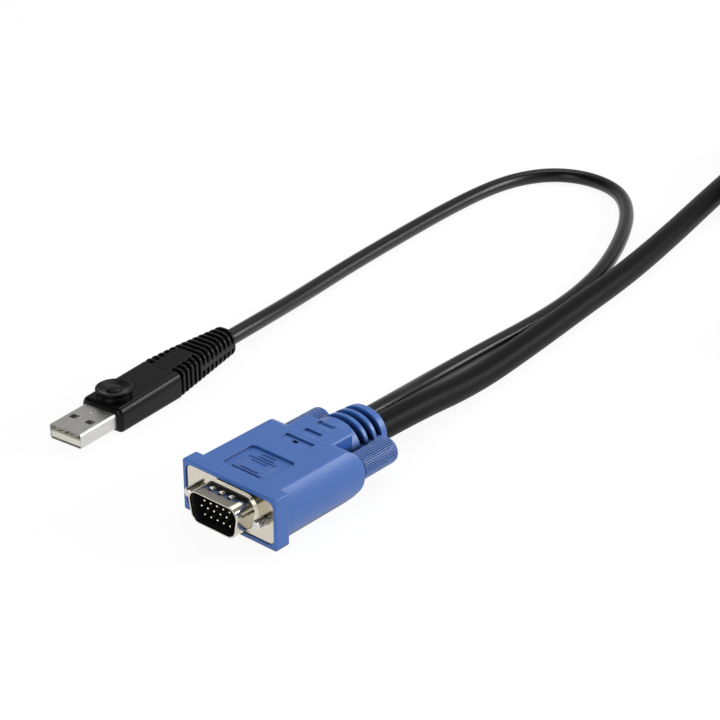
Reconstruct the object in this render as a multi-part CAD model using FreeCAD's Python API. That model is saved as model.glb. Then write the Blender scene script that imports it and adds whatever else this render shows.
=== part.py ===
"""Two-in-one computer cable: a screened 15-pin video plug and a flat data plug share one moulded exit.

The thick cable carries both signals on to a second 15-pin plug at the console end. Lengths are in
millimetres. +Y runs back from the mating face along the cable, +X is to the right of someone who faces
the pins, +Z is up, and the origin is on the floor under the first video plug.
"""
import FreeCAD
import Part
import math
import os

V = FreeCAD.Vector

# Cables
main_diameter = 8.0
data_diameter = 5.1
cable_web = 0.3
moulding_gap = 0.05
cord_sides = 8

# Video plug: moulded hood
hood_height = 15.6
hood_length = 56.0
flange_width = 34.0
flange_thickness = 5.0
flange_corner = 0.5
flange_bevel = 0.3
crease_radius = 0.7
top_width = 28.0
waist_width = 33.0
wing_length = 28.0
neck_width = 16.8
neck_length = 40.0
neck_bevel = 0.6
relief_base_width = 17.2
relief_end_width = 15.3
relief_flatness = 0.895
relief_lip = 0.7
relief_sides = 24
slot_count = 3
slot_first = 43.2
slot_pitch = 4.1
slot_width = 2.0
slot_web = 8.6
panel_width = 16.0
panel_length = 12.2
panel_front = 5.6
panel_depth = 0.5
panel_corner = 1.4
louvre_widths = (10.2, 5.9, 5.9)
louvre_first = 28.2
louvre_pitch = 5.3
louvre_length = 3.0
louvre_depth = 0.6
vent_width = 2.0
vent_length = 1.5
vent_offset = -0.4
vent_setback = 1.1

# Video plug: inner mould behind the connector
mould_width = 19.6
mould_height = 10.8
mould_length = 24.0
mould_neck_width = 14.0
mould_neck_height = 9.4
cable_seat = 38.0

# Video plug: 15-pin connector
plate_width = 30.81
plate_height = 12.55
plate_thickness = 0.5
plate_corner = 2.2
plate_recess = 0.4
mouth_width = 16.92
mouth_height = 8.36
mouth_corner = 2.6
mouth_side_angle = 10.0
shell_wall = 0.45
shell_reach = 6.4
insulator_length = 6.5
insulator_setback = 0.3
connector_gap = 0.05
pin_diameter = 0.76
pin_pitch = 2.29
pins_per_row = 5
row_pitch = 1.98
row_count = 3
pin_setback = 0.5
pin_point = 0.2
pin_sides = 6

# Video plug: captive thumbscrews
screw_spacing = 24.99
screw_diameter = 2.84
screw_reach = 3.0
screw_play = 0.3
screw_grip = 9.0
screw_shoulder = 0.2
stem_diameter = 2.2
stem_sides = 8
hole_sides = 12
knob_diameter = 7.9
knob_length = 14.7
knob_gap = 0.5
knob_ribs = 24
knob_rib_depth = 0.35
knob_cap = 1.2
knob_cap_bevel = 0.9

# Data plug
data_shell_width = 12.0
data_shell_height = 4.5
data_shell_wall = 0.3
data_shell_corner = 0.6
data_shell_exposed = 15.2
data_shell_hold = 6.0
window_width = 2.2
window_length = 2.0
window_spacing = 5.5
window_setback = 5.6
tongue_thickness = 1.9
tongue_setback = 0.4
contact_places = (-3.5, -1.0, 1.0, 3.5)
contact_width = 1.1
contact_thickness = 0.2
contact_depth = 0.15
contact_setback = 1.2
contact_length = 11.0
grip_width = 15.4
grip_height = 8.0
grip_bevel = 1.1
grip_length = 26.8
grip_front_bevel = 1.1
grip_back_bevel = 0.3
boss_diameter = 11.0
boss_height = 2.0
boss_foot_diameter = 13.2
boss_foot_height = 1.0
boss_setback = 6.4
boss_bevel = 0.4
boss_dish_diameter = 5.4
boss_dish_depth = 0.5
boss_dish_slope = 0.8
boss_fall = 0.3
boss_sides = 24
tail_end_width = 8.4
tail_end_height = 9.0
tail_end_bevel = 2.2
tail_end_lift = 0.2
tail_groove_depth = 0.8
tail_step = 0.3
rib_pitch = 2.3
rib_width = 1.25
side_rib_count = 5
ring_count = 8
tail_panel_width = 6.8
tail_spine = 1.8
data_cable_hold = 8.0

# Where the video plug's strain relief ends, where the data plug lies, and how far that is turned
video_relief_y = 30.8
data_plug_x = -65.2
data_plug_y = -24.4
data_plug_yaw = 5.4

# Coil of the length that isn't laid out, and its strap
coil_columns = 3
coil_rows = 2
coil_pitch = 8.2
coil_middle_radius = 40.0
coil_x = 18.5
coil_y = 295.0
coil_lead = 30.0
coil_entry_turn = 10.0
coil_sides = 36
strap_width = 12.0
strap_thickness = 0.6
strap_slack = 0.9

# Where the console plug lies
console_x = 64.0
console_relief_y = 219.0

# Worked out from the sizes above
half_height = hood_height / 2
front_y = video_relief_y - hood_length
seat_y = front_y + cable_seat
wing_end = wing_length + half_height
plate_back = plate_recess + plate_thickness
insulator_front = plate_recess + insulator_setback
insulator_back = insulator_front + insulator_length
bundle_width = main_diameter + cable_web + data_diameter + 2 * moulding_gap
main_x = (bundle_width - main_diameter) / 2
data_x = (data_diameter - bundle_width) / 2
grip_end = data_shell_exposed + grip_length
tail_length = (side_rib_count + ring_count) * rib_pitch
tail_end = grip_end + tail_length
data_axis_z = grip_height / 2
tail_axis_z = tail_end_lift + tail_end_height / 2
main_floor_z = main_diameter / 2
data_floor_z = data_diameter / 2
coil_height = coil_rows * coil_pitch
coil_low_z = strap_thickness + coil_pitch / 2
coil_high_z = coil_low_z + (coil_rows - 1) * coil_pitch
coil_outer_turn = coil_middle_radius + (coil_columns - 1) / 2 * coil_pitch
console_front_y = console_relief_y - hood_length
console_seat_y = console_front_y + cable_seat


def rounded_wire(corners, radius):
    """Closed outline through straight sides, with the same arc at every corner."""
    edges = []
    last_end = None
    first_start = None
    count = len(corners)
    for i, corner in enumerate(corners):
        back = (corners[i - 1] - corner).normalize()
        ahead = (corners[(i + 1) % count] - corner).normalize()
        half_angle = back.getAngle(ahead) / 2
        setback = radius / math.tan(half_angle)
        inward = (back + ahead).normalize()
        start = corner + back * setback
        end = corner + ahead * setback
        middle = corner + inward * (radius / math.sin(half_angle) - radius)
        if last_end is None:
            first_start = start
        else:
            edges.append(Part.makeLine(last_end, start))
        edges.append(Part.Arc(start, middle, end).toShape())
        last_end = end
    edges.append(Part.makeLine(last_end, first_start))
    return Part.Wire(edges)


def rectangle(width, height, y, middle_z):
    """Four corners of an upright rectangle across the plug."""
    x = width / 2
    z = height / 2
    return [V(-x, y, middle_z - z), V(x, y, middle_z - z), V(x, y, middle_z + z), V(-x, y, middle_z + z)]


def rounded_bar(width, height, radius, y_from, y_to, middle_z):
    """Bar along Y with a rounded rectangular section."""
    wire = rounded_wire(rectangle(width, height, y_from, middle_z), radius)
    return Part.Face(wire).extrude(V(0, y_to - y_from, 0))


def outline(corners):
    """Closed outline with sharp corners."""
    return Part.makePolygon(corners + corners[:1])


def bevelled_rectangle(width, height, bevel, y, middle_z):
    """Eight corners of an upright rectangle whose own corners are bevelled."""
    x = width / 2
    z = height / 2
    short_x = x - bevel
    short_z = z - bevel
    half = [(-short_x, -z), (short_x, -z), (x, -short_z), (x, short_z)]
    places = half + [(-across, -up) for across, up in half]
    return [V(across, y, middle_z + up) for across, up in places]


def bevelled_bar(width, height, bevel, y_from, y_to, middle_z):
    """Bar along Y with that section."""
    wire = outline(bevelled_rectangle(width, height, bevel, y_from, middle_z))
    return Part.Face(wire).extrude(V(0, y_to - y_from, 0))


def regular_outline(x, z, diameter, sides, y):
    """Corners of an upright regular polygon, with a flat side below."""
    corners = []
    for i in range(sides):
        angle = (2 * i + 1) * math.pi / sides - math.pi / 2
        corners.append(V(x + diameter / 2 * math.cos(angle), y, z + diameter / 2 * math.sin(angle)))
    return corners


def faceted_solid(rings):
    """Solid with flat sides through outlines that have the same number of corners."""
    faces = [Part.Face(outline(rings[0])), Part.Face(outline(rings[-1]))]
    for low, high in zip(rings, rings[1:]):
        for i in range(len(low)):
            faces.append(Part.Face(outline([low[i - 1], low[i], high[i], high[i - 1]])))
    shell = Part.makeShell(faces)
    shell.sewShape()
    solid = Part.makeSolid(shell)
    if solid.Volume < 0:
        solid.reverse()
    return solid


def faceted_rod(x, z, diameter, sides, y_from, y_to):
    """Bar along Y with a regular section."""
    return Part.Face(outline(regular_outline(x, z, diameter, sides, y_from))).extrude(V(0, y_to - y_from, 0))


def block(x_from, x_to, y_from, y_to, z_from, z_to):
    return Part.makeBox(x_to - x_from, y_to - y_from, z_to - z_from, V(x_from, y_from, z_from))


def rod(x, z, diameter, y_from, y_to):
    """Round bar along Y."""
    return Part.makeCylinder(diameter / 2, y_to - y_from, V(x, y_from, z), V(0, 1, 0))


def edges_at(shape, y):
    """Edges that lie wholly in the plane across the plug at y."""
    near = 1e-4
    return [e for e in shape.Edges if abs(e.BoundBox.YMin - y) < near and abs(e.BoundBox.YMax - y) < near]


def mouth_outline(grow, y):
    """The connector's D outline, wide side up, moved outward by grow."""
    lean = math.radians(mouth_side_angle)
    top_z = half_height + mouth_height / 2 + grow
    low_z = half_height - mouth_height / 2 - grow
    top_x = mouth_width / 2 + grow * (1 / math.cos(lean) + math.tan(lean))
    low_x = top_x - (top_z - low_z) * math.tan(lean)
    corners = [V(-low_x, y, low_z), V(low_x, y, low_z), V(top_x, y, top_z), V(-top_x, y, top_z)]
    return rounded_wire(corners, mouth_corner + grow)


def mouth_bar(grow, y_from, y_to):
    return Part.Face(mouth_outline(grow, y_from)).extrude(V(0, y_to - y_from, 0))


def screw_places():
    return {"left": -screw_spacing / 2, "right": screw_spacing / 2}


def screw_hole(x, y_from, y_to):
    """Clear hole round a jackscrew: its flat sides keep the play."""
    across = (screw_diameter + 2 * screw_play) / math.cos(math.pi / hole_sides)
    return faceted_rod(x, half_height, across, hole_sides, y_from, y_to)


def hood_barrel():
    """Hood body: flat top and bottom, bowed sides with soft creases, and a half-round back end."""
    x = top_width / 2
    section = Part.Wire([
        Part.makeLine(V(-x, 0, hood_height), V(x, 0, hood_height)),
        Part.Arc(V(x, 0, hood_height), V(waist_width / 2, 0, half_height), V(x, 0, 0)).toShape(),
        Part.makeLine(V(x, 0, 0), V(-x, 0, 0)),
        Part.Arc(V(-x, 0, 0), V(-waist_width / 2, 0, half_height), V(-x, 0, hood_height)).toShape(),
    ])
    bar = Part.Face(section).extrude(V(0, wing_end, 0))
    creases = [e for e in bar.Edges if e.BoundBox.YLength > wing_length]
    bar = bar.makeFillet(crease_radius, creases)
    side = Part.Wire([
        Part.makeLine(V(-flange_width, 0, 0), V(-flange_width, wing_length, 0)),
        Part.Arc(V(-flange_width, wing_length, 0), V(-flange_width, wing_end, half_height),
                 V(-flange_width, wing_length, hood_height)).toShape(),
        Part.makeLine(V(-flange_width, wing_length, hood_height), V(-flange_width, 0, hood_height)),
        Part.makeLine(V(-flange_width, 0, hood_height), V(-flange_width, 0, 0)),
    ])
    return bar.common(Part.Face(side).extrude(V(2 * flange_width, 0, 0)))


def oval(width, y):
    """Corners of the sleeve's upright oval, wide side across the plug."""
    ring = regular_outline(0, 0, width, relief_sides, y)
    return [V(corner.x, y, half_height + corner.z * relief_flatness) for corner in ring]


def strain_relief():
    """Tapered oval sleeve behind the neck, with a small bevel at its end."""
    return faceted_solid([
        oval(relief_base_width, wing_length),
        oval(relief_end_width, hood_length - relief_lip),
        oval(relief_end_width - relief_lip, hood_length),
    ])


def relief_slots():
    """Cross slots over and under the sleeve, which leave a web along each side."""
    slots = []
    for i in range(slot_count):
        y = slot_first + i * slot_pitch - slot_width / 2
        upper = half_height + slot_web / 2
        lower = half_height - slot_web / 2
        slots.append(block(-flange_width, flange_width, y, y + slot_width, upper, hood_height + 1))
        slots.append(block(-flange_width, flange_width, y, y + slot_width, -1, lower))
    return slots


def louvres():
    """Finger recesses on the neck, which ramp down to an upright back wall."""
    cuts = []
    for i, width in enumerate(louvre_widths):
        y = louvre_first + i * louvre_pitch
        ramp = Part.makePolygon([
            V(-width / 2, y - louvre_length, hood_height), V(-width / 2, y, hood_height - louvre_depth),
            V(-width / 2, y, hood_height + 1), V(-width / 2, y - louvre_length, hood_height + 1),
            V(-width / 2, y - louvre_length, hood_height),
        ])
        cuts.append(Part.Face(ramp).extrude(V(width, 0, 0)))
    return cuts


def sign_panel():
    """Shallow rounded recess on the top, behind the flange."""
    x = panel_width / 2
    y = panel_front + panel_length
    z = hood_height - panel_depth
    corners = [V(-x, panel_front, z), V(x, panel_front, z), V(x, y, z), V(-x, y, z)]
    return Part.Face(rounded_wire(corners, panel_corner)).extrude(V(0, 0, hood_height))


def locating_hole():
    """Hole that a pin of the moulding tool leaves down to the inner mould."""
    y = louvre_first - vent_setback
    x = vent_offset
    top_of_mould = half_height + mould_neck_height / 2
    return block(x - vent_width / 2, x + vent_width / 2, y - vent_length, y, top_of_mould, hood_height + 1)


def mould_outline():
    """Inner mould's outer form: a wide block, and a narrow one that reaches into the neck."""
    width = mould_width / 2
    height = mould_height / 2
    neck = mould_neck_width / 2
    neck_rise = mould_neck_height / 2
    wide = block(-width, width, plate_back, mould_length, half_height - height, half_height + height)
    narrow = block(-neck, neck, mould_length, cable_seat, half_height - neck_rise, half_height + neck_rise)
    return wide.fuse(narrow)


def video_hood(cables, opened):
    """Moulded hood: with every recess and its inner mould's space if opened, else plain and solid."""
    flange = bevelled_bar(flange_width, hood_height, flange_corner, 0, flange_thickness, half_height)
    flange = flange.makeChamfer(flange_bevel, edges_at(flange, 0))
    neck = bevelled_bar(neck_width, hood_height, neck_bevel, mould_length, neck_length, half_height)
    hood = hood_barrel().fuse([flange, neck, strain_relief()])
    if opened:
        cuts = relief_slots() + louvres() + [sign_panel(), locating_hole(), mould_outline()]
    else:
        cuts = [connector_socket()]
    cuts.append(rounded_bar(plate_width + 2 * connector_gap, plate_height + 2 * connector_gap,
                            plate_corner, -1, plate_back, half_height))
    for x, diameter in cables:
        cuts.append(rod(x, half_height, diameter + 2 * moulding_gap, cable_seat, hood_length + 1))
    for x in screw_places().values():
        cuts.append(screw_hole(x, plate_back, wing_end + 1))
    return hood.cut(cuts).removeSplitter()


def connector_socket():
    """Space that takes the insulator behind the plate."""
    return mouth_bar(0, plate_back, insulator_back)


def video_front_shell():
    """Drawn steel shell: a flat plate and the D collar that goes over the socket."""
    plate = rounded_bar(plate_width, plate_height, plate_corner, plate_recess, plate_back, half_height)
    collar = mouth_bar(shell_wall, -shell_reach, plate_recess)
    holes = [screw_hole(x, 0, plate_back + 1) for x in screw_places().values()]
    return plate.fuse(collar).cut([mouth_bar(0, -shell_reach - 1, plate_back + 1)] + holes)


def pin_places():
    """Pin centres: rows of five, with the middle row half a pitch to the left of the others."""
    places = []
    for row in range(row_count):
        shift = -pin_pitch / 4 if row % 2 else pin_pitch / 4
        z = half_height + ((row_count - 1) / 2 - row) * row_pitch
        for i in range(pins_per_row):
            places.append(((i - (pins_per_row - 1) / 2) * pin_pitch + shift, z))
    return places


def video_insulator():
    """Moulded block that carries the pins, behind the open front of the shell."""
    return mouth_bar(-connector_gap, insulator_front, insulator_back)


def video_pins():
    """Contact pins with bevelled points, which stand on the insulator's face."""
    tip = pin_setback - shell_reach
    pins = []
    for x, z in pin_places():
        pin = faceted_rod(x, z, pin_diameter, pin_sides, tip, insulator_front)
        pins.append(pin.makeChamfer(pin_point, edges_at(pin, tip)))
    return Part.makeCompound(pins)


def video_inner_mould():
    """Inner moulding that grips the back of the connector and the ends of the cables."""
    return mould_outline().removeSplitter().cut(connector_socket())


def knob_start():
    return wing_end + knob_gap


def screw_stem(x, y_from):
    """Thinner back part of a jackscrew, which ends inside its knob."""
    return faceted_rod(x, half_height, stem_diameter, stem_sides, y_from, knob_start() + screw_grip)


def video_screw(x):
    """Steel jackscrew: its full-size end stands out in front of the plate, its stem runs into the knob."""
    shoulder = plate_recess - screw_shoulder
    return rod(x, half_height, screw_diameter, -screw_reach, shoulder).fuse(screw_stem(x, shoulder))


def ribbed_grip(x, y_from, y_to):
    """Lengthwise V ribs all round the knob."""
    outer = knob_diameter / 2
    ring = []
    for i in range(2 * knob_ribs):
        radius = outer - knob_rib_depth * (i % 2)
        angle = math.pi * i / knob_ribs
        ring.append(V(x + radius * math.cos(angle), y_from, half_height + radius * math.sin(angle)))
    return Part.Face(Part.makePolygon(ring + ring[:1])).extrude(V(0, y_to - y_from, 0))


def video_knob(x):
    """Moulded thumb knob: ribbed grip and a smooth bevelled end, moulded round the screw's stem."""
    start = knob_start()
    end = start + knob_length
    cap = faceted_rod(x, half_height, knob_diameter - 2 * knob_rib_depth, knob_ribs, end - knob_cap, end)
    cap = cap.makeChamfer(knob_cap_bevel, edges_at(cap, end))
    return ribbed_grip(x, start, end - knob_cap).fuse(cap).cut(screw_stem(x, wing_end))


def video_plug(prefix, cables, opened, x, y):
    """All pieces of one video plug, with the middle of its flange's front at x, y."""
    pieces = {
        "hood": video_hood(cables, opened),
        "front_shell": video_front_shell(),
        "insulator": video_insulator(),
        "pins": video_pins(),
    }
    if opened:
        pieces["inner_mould"] = video_inner_mould()
    for side, place in screw_places().items():
        pieces["screw_" + side] = video_screw(place)
        pieces["knob_" + side] = video_knob(place)
    for shape in pieces.values():
        shape.translate(V(x, y, 0))
    return {prefix + "_" + name: shape for name, shape in pieces.items()}


def data_shell():
    """Folded steel sleeve, open at the front, with two windows above and two below."""
    end = data_shell_exposed + data_shell_hold
    outer = rounded_bar(data_shell_width, data_shell_height, data_shell_corner, 0, end, data_axis_z)
    half = data_shell_width / 2 - data_shell_wall
    rise = data_shell_height / 2 - data_shell_wall
    cuts = [block(-half, half, -1, end + 1, data_axis_z - rise, data_axis_z + rise)]
    for x in (-window_spacing / 2, window_spacing / 2):
        cuts.append(block(x - window_width / 2, x + window_width / 2, window_setback,
                          window_setback + window_length, -1, grip_height + 1))
    return outer.cut(cuts)


def contact_strips(height):
    """Strips along the top of the tongue, height thick from the bottom of their grooves."""
    groove = data_axis_z - data_shell_height / 2 + data_shell_wall + tongue_thickness - contact_depth
    return [block(x - contact_width / 2, x + contact_width / 2, contact_setback,
                  contact_setback + contact_length, groove, groove + height) for x in contact_places]


def data_tongue():
    """Moulded tongue: low in the open front of the shell, and filling it where the grip holds it."""
    low = data_axis_z - data_shell_height / 2 + data_shell_wall
    high = data_axis_z + data_shell_height / 2 - data_shell_wall
    half = data_shell_width / 2 - data_shell_wall
    end = data_shell_exposed + data_shell_hold
    bar = block(-half, half, tongue_setback, end, low, high)
    mouth = block(-half, half, -1, data_shell_exposed, low + tongue_thickness, high)
    return bar.cut([mouth] + contact_strips(data_shell_height))


def data_contacts():
    return Part.makeCompound(contact_strips(contact_thickness))


def tail_form(shrink):
    """Tapered sleeve from the grip's section to a nearly round end, made smaller all round by shrink."""
    less = tail_step + 2 * shrink
    start = bevelled_rectangle(grip_width - less, grip_height - less, grip_bevel, grip_end, data_axis_z)
    end = bevelled_rectangle(tail_end_width - 2 * shrink, tail_end_height - 2 * shrink, tail_end_bevel,
                             tail_end, tail_axis_z)
    return faceted_solid([start, end])


def tail_panel():
    """Smooth strip between the side ribs, above and below."""
    half = tail_panel_width / 2
    return block(-half, half, grip_end - 1, grip_end + side_rib_count * rib_pitch, -1, 2 * grip_height)


def ribbed_tail():
    """Strain relief: ribs beside the panel, then rings that a spine joins along each side."""
    panel = tail_panel()
    spine_low = tail_axis_z - tail_spine / 2
    spine = block(-grip_width, grip_width, grip_end + side_rib_count * rib_pitch, tail_end,
                  spine_low, spine_low + tail_spine)
    grooves = []
    for i in range(side_rib_count + ring_count):
        y = grip_end + i * rib_pitch
        grooves.append(block(-grip_width, grip_width, y, y + rib_pitch - rib_width, -1, 2 * grip_height))
    core = tail_form(tail_groove_depth)
    kept = core.fuse([panel, spine])
    return tail_form(0).cut(Part.makeCompound(grooves).cut(kept))


def level_ring(diameter, z):
    """Corners of a level ring of the thumb boss."""
    ring = regular_outline(0, 0, diameter, boss_sides, 0)
    return [V(corner.x, corner.z, z) for corner in ring]


def thumb_boss():
    """Raised disc on a sloped foot: a bevelled rim, a top that falls inward, and a dish in the middle."""
    top = grip_height + boss_height
    rim = boss_diameter - 2 * boss_bevel
    floor = top - boss_fall - boss_dish_depth
    disc = faceted_solid([
        level_ring(boss_foot_diameter, data_axis_z), level_ring(boss_foot_diameter, grip_height),
        level_ring(boss_diameter, grip_height + boss_foot_height), level_ring(boss_diameter, top - boss_bevel),
        level_ring(rim, top),
    ])
    hollow = faceted_solid([
        level_ring(rim, top), level_ring(boss_dish_diameter, top - boss_fall),
        level_ring(boss_dish_diameter - 2 * boss_dish_slope, floor),
    ])
    boss = disc.cut(hollow)
    boss.translate(V(0, data_shell_exposed + boss_setback, 0))
    return boss


def data_grip():
    """Moulded grip and strain relief of the data plug, in one piece."""
    bar = bevelled_bar(grip_width, grip_height, grip_bevel, data_shell_exposed, grip_end, data_axis_z)
    bar = bar.makeChamfer(grip_front_bevel, edges_at(bar, data_shell_exposed))
    bar = bar.makeChamfer(grip_back_bevel, edges_at(bar, grip_end))
    body = bar.fuse([ribbed_tail(), thumb_boss()])
    half = data_shell_width / 2
    rise = data_shell_height / 2
    pocket = block(-half, half, data_shell_exposed - 1, data_shell_exposed + data_shell_hold,
                   data_axis_z - rise, data_axis_z + rise)
    bore = rod(0, tail_axis_z, data_diameter + 2 * moulding_gap, tail_end - data_cable_hold, tail_end + 1)
    return body.cut([pocket, bore]).removeSplitter()


def data_plug():
    """All pieces of the data plug, laid down beside the video plug."""
    pieces = {
        "data_shell": data_shell(),
        "data_tongue": data_tongue(),
        "data_contacts": data_contacts(),
        "data_grip": data_grip(),
    }
    for shape in pieces.values():
        shape.rotate(V(0, 0, 0), V(0, 0, 1), data_plug_yaw)
        shape.translate(V(data_plug_x, data_plug_y, 0))
    return pieces


def on_data_axis(y):
    """Point on the axis of the data plug's cable, y behind the front of the shell."""
    turn = math.radians(data_plug_yaw)
    return V(data_plug_x - y * math.sin(turn), data_plug_y + y * math.cos(turn), tail_axis_z)


def cord_section(at, along, diameter):
    """Corners of a cord's eight-sided section across its run, with a flat side below."""
    ahead = V(along.x, along.y, along.z).normalize()
    side = ahead.cross(V(0, 0, 1)).normalize()
    up = side.cross(ahead)
    flat = regular_outline(0, 0, diameter, cord_sides, 0)
    return [at + side * corner.x + up * corner.z for corner in flat]


def cord_tube(name, points, diameter):
    """Cord along straight runs that tangent arcs join, each as large as its runs allow."""
    edges = []
    at = points[0]
    radii = []
    for before, corner, after in zip(points, points[1:], points[2:]):
        back = before - corner
        ahead = after - corner
        shorter = min(back.Length, ahead.Length)
        turn = math.pi - back.getAngle(ahead)
        setback = 0.45 * shorter
        radius = setback / math.tan(turn / 2)
        back.normalize()
        ahead.normalize()
        inward = (back + ahead).normalize()
        start = corner + back * setback
        end = corner + ahead * setback
        middle = corner + inward * (radius / math.cos(turn / 2) - radius)
        edges.append(Part.makeLine(at, start))
        edges.append(Part.Arc(start, middle, end).toShape())
        radii.append(radius)
        at = end
    edges.append(Part.makeLine(at, points[-1]))
    path = Part.Wire(edges)
    section = outline(cord_section(points[0], points[1] - points[0], diameter))
    tube = path.makePipeShell([section], True, False)
    share = tube.Volume / (Part.Face(section).Area * path.Length)
    print(name, "length %.1f volume share %.4f radii" % (path.Length, share), [round(r, 1) for r in radii])
    return tube


def main_route():
    """Thick cable: out of the hood, down to the floor, and back to where the coil begins."""
    x = main_x
    z = main_floor_z
    turn = math.radians(coil_entry_turn)
    along = V(-math.sin(turn), math.cos(turn), 0)
    across = V(math.cos(turn), math.sin(turn), 0)
    lead = V(coil_x, coil_y, coil_low_z) - across * coil_outer_turn - along * coil_lead
    return [
        V(x, seat_y, half_height), V(x, 44, half_height), V(1.4, 76, z), V(-1.1, 106, z), V(-4.6, 138, z),
        V(-7.9, 170, z), V(-14.0, 205, z), lead - along * 24, lead,
    ]


def data_route():
    """Thin cable: beside the thick one, then round in a loop to the data plug."""
    x = data_x
    z = data_floor_z
    return [
        V(x, seat_y, half_height), V(x, 41, half_height), V(-10.0, 68, 3.2), V(-10.8, 95, z), V(-10.2, 124, z),
        V(-11.8, 146, z), V(-17.0, 170, z), V(-27.3, 195.8, z), V(-38.9, 216.1, z), V(-51.8, 228.6, z),
        V(-66.8, 231.4, z), V(-78.8, 226.0, z), V(-85.8, 214.2, z), V(-88.4, 198, z), V(-87.8, 174, z),
        V(-85.5, 146, z), V(-82.5, 116, z), V(-78.6, 88, z + 0.1),
        on_data_axis(tail_end + 16), on_data_axis(tail_end - data_cable_hold),
    ]


def tail_route():
    """Thick cable from the coil's top row down into the console plug."""
    start = V(coil_x + coil_outer_turn, coil_y - coil_lead, coil_high_z)
    x = console_x
    return [
        start, start - V(0, 16, 0), V(x, console_relief_y + 10, half_height), V(x, console_seat_y, half_height),
    ]


def coil_disc(radius):
    """Level disc as high as the put-away turns."""
    ring = regular_outline(coil_x, coil_y, 2 * radius, coil_sides, 0)
    level = outline([V(corner.x, corner.z, strap_thickness) for corner in ring])
    return Part.Face(level).extrude(V(0, 0, coil_height))


def coil():
    """The put-away turns as one ring, with the two straight leads that run off it."""
    half = coil_columns * coil_pitch / 2
    middle = V(coil_x, coil_y, strap_thickness)
    ring = coil_disc(coil_middle_radius + half).cut(coil_disc(coil_middle_radius - half))
    lead_in = faceted_rod(coil_x - coil_outer_turn, coil_low_z, main_diameter, cord_sides,
                          coil_y - coil_lead, coil_y)
    lead_in.rotate(middle, V(0, 0, 1), coil_entry_turn)
    lead_out = faceted_rod(coil_x + coil_outer_turn, coil_high_z, main_diameter, cord_sides,
                           coil_y - coil_lead, coil_y)
    return ring.fuse([lead_in, lead_out]).removeSplitter()


def coil_strap():
    """Flat strap round the turns, at the back of the coil."""
    half = coil_columns * coil_pitch / 2 + strap_slack
    inner_from = coil_y + coil_middle_radius - half
    inner_to = coil_y + coil_middle_radius + half
    x_from = coil_x - strap_width / 2
    x_to = coil_x + strap_width / 2
    outer = block(x_from, x_to, inner_from - strap_thickness, inner_to + strap_thickness,
                  0, coil_height + 2 * strap_thickness)
    return outer.cut(block(x_from - 1, x_to + 1, inner_from, inner_to,
                           strap_thickness, strap_thickness + coil_height))


def build():
    """Every node of the cable, by name."""
    nodes = video_plug("video", [(main_x, main_diameter), (data_x, data_diameter)], True, 0, front_y)
    nodes.update(video_plug("console", [(0, main_diameter)], False, console_x, console_front_y))
    nodes.update(data_plug())
    nodes["data_cable"] = cord_tube("data_cable", data_route(), data_diameter)
    nodes["main_cable"] = cord_tube("main_cable", main_route(), main_diameter)
    nodes["main_cable_tail"] = cord_tube("main_cable_tail", tail_route(), main_diameter)
    nodes["main_cable_coil"] = coil()
    nodes["coil_strap"] = coil_strap()
    return nodes


os.makedirs("parts", exist_ok=True)
for node, shape in build().items():
    shape.exportStep(os.path.join("parts", node + ".step"))
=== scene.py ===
import bmesh
import bpy
from math import asin, atan2, copysign, cos, hypot, pi, radians, sin, sqrt, tan
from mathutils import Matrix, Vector


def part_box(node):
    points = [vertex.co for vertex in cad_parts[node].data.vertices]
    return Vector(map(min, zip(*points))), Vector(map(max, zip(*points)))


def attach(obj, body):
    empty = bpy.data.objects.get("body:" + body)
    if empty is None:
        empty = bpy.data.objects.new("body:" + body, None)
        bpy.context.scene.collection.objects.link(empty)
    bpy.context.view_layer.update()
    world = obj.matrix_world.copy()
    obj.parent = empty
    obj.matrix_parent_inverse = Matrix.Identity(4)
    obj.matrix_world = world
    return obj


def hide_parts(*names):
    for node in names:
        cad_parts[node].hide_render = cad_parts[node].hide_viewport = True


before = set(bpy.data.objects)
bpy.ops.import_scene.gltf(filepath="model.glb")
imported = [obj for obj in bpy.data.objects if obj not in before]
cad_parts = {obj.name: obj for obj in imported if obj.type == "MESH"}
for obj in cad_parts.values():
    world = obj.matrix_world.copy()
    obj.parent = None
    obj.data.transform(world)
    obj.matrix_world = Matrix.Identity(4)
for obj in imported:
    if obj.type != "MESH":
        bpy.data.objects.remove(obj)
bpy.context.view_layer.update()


# Studio: a plain pale floor between white walls under a grey ceiling, with the camera at the photograph's angle.
# Floor and low walls show white to the camera and in reflections. The room in front is dark higher up, which gives
# bright metal its dark faces; soft lamps stand above, to the right and in front.
def linear(hex_colour):
    """sRGB hex colour as the linear one that shaders take."""
    channels = [int(hex_colour[i:i + 2], 16) / 255 for i in (1, 3, 5)]
    return [c / 12.92 if c <= 0.04045 else ((c + 0.055) / 1.055) ** 2.4 for c in channels] + [1.0]


def add_node(tree, kind, inputs=None, **settings):
    """Adds one node with its settings; an input is a value or the output of another node."""
    node = tree.nodes.new(kind)
    for name, value in settings.items():
        setattr(node, name, value)
    for name, value in (inputs or {}).items():
        if isinstance(value, bpy.types.NodeSocket):
            tree.links.new(value, node.inputs[name])
        else:
            node.inputs[name].default_value = value
    return node


def seen_directly(tree):
    """1 for rays from the camera, a mirror or a clear surface, 0 for the light that falls on the object."""
    path = add_node(tree, "ShaderNodeLightPath")
    either = add_node(tree, "ShaderNodeMath", {0: path.outputs["Is Camera Ray"], 1: path.outputs["Is Glossy Ray"]},
                      operation="MAXIMUM")
    return add_node(tree, "ShaderNodeMath", {0: either.outputs[0], 1: path.outputs["Is Transmission Ray"]},
                    operation="MAXIMUM").outputs[0]


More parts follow.
